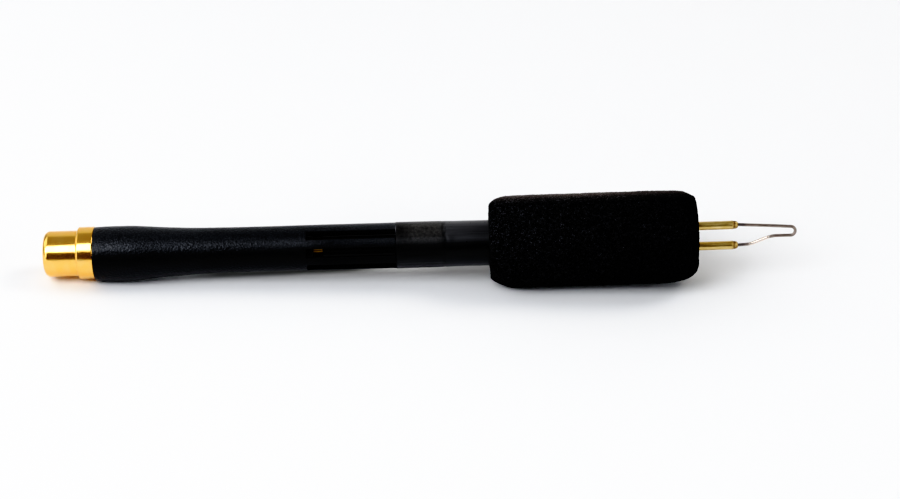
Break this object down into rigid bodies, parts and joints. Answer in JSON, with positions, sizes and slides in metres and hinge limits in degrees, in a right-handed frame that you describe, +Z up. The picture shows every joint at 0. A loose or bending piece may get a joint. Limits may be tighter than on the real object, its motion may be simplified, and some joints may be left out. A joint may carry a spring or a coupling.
{
  "type": "hot wire cutter",
  "caption": "Pen-shaped hot wire cutter with a phono socket at its tail, a vented barrel, a thick foam grip and a bent wire blade held between brass posts.",
  "frame": {"origin": "on the pen's long axis, at the shoulder face of the socket's collar, where a phono plug's outer ring seats", "axes": "+X along the pen towards the blade, -X out of the socket's mouth, +Z up as the pen lies at rest; the post plane and the vents are rolled 16 degrees about X"},
  "size_m": [0.1398, 0.0174, 0.0175],
  "materials": {
    "gold_plate": "polished",
    "socket_plastic": "satin",
    "tinned_metal": "satin",
    "nickel_plate": "polished",
    "black_barrel": "satin",
    "black_sleeve": "satin",
    "tube_plastic": "satin",
    "insulating_board": "satin",
    "brass_rod": "satin",
    "black_sleeving": "gloss",
    "resistance_wire": "satin",
    "copper": "satin",
    "red_insulation": "gloss",
    "black_insulation": "gloss",
    "solder": "satin",
    "black_foam": "matte"
  },
  "bodies": {
    "pen": {"socket_shell": "gold_plate", "socket_insulator": "socket_plastic", "socket_centre_contact": "gold_plate", "socket_ground_tag": "tinned_metal", "socket_tag_nut": "nickel_plate", "rear_barrel": "black_barrel", "front_sleeve": "black_sleeve", "front_tube": "tube_plastic", "front_plug": "insulating_board", "rear_spacer": "insulating_board", "upper_post": "brass_rod", "lower_post": "brass_rod", "upper_post_insulation": "black_sleeving", "lower_post_insulation": "black_sleeving", "joint_sleeves": "black_sleeving", "cutting_wire": "resistance_wire", "centre_lead_core": "copper", "centre_lead_insulation": "red_insulation", "return_lead_core": "copper", "return_lead_insulation": "black_insulation", "socket_solder_joints": "solder", "post_solder_joints": "solder"},
    "grip": {"foam_grip": "black_foam"}
  },
  "joints": [
    {"name": "grip_slide", "type": "slide", "parent": "pen", "child": "grip", "axis": [1, 0, 0], "range_m": [-0.017, 0.005]}
  ]
}
